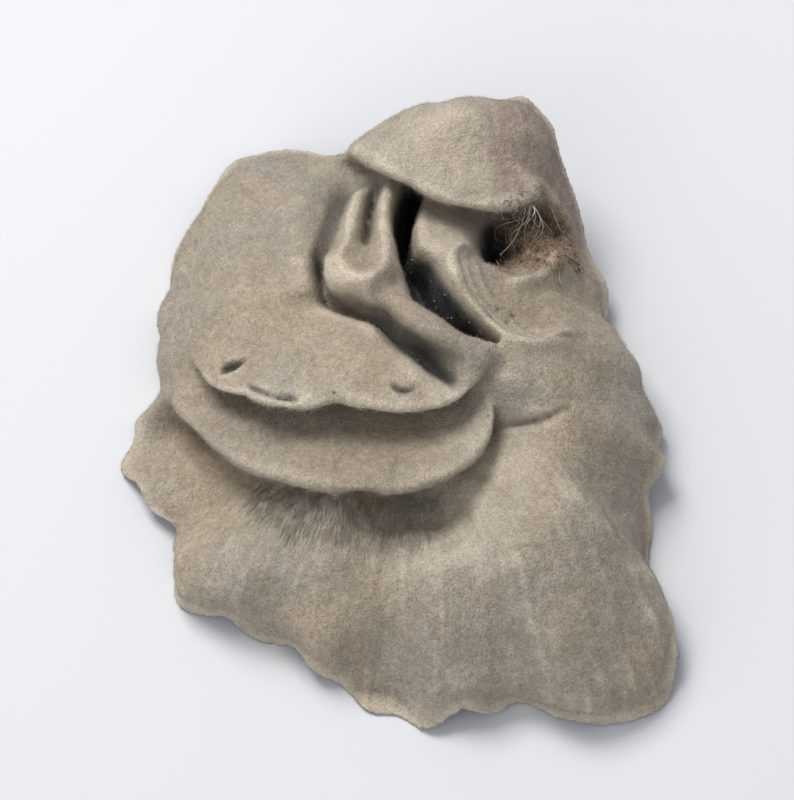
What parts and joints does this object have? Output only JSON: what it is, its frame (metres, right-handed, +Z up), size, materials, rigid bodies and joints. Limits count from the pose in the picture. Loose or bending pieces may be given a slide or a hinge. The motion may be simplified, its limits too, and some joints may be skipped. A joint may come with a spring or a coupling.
{
  "type": "wood ear mushroom",
  "caption": "Dried white-backed wood ear, a folded and ruffled sheet with a pale felted back and a dark inner face, lying on its margin with the back up.",
  "frame": {"origin": "centre of the bounding box at its foot, on the surface that the ear lies on", "axes": "+X across the ear, from left to right in the picture; +Y from the hem of the fan to the dome beside the scar, away from the camera; +Z up"},
  "size_m": [0.0924, 0.105, 0.0332],
  "materials": {
    "felted_back": "dry matt felt on the back, blue-black and faintly satin on the inner face"
  },
  "bodies": {
    "root": {"wood_ear": "felted_back"}
  },
  "joints": []
}
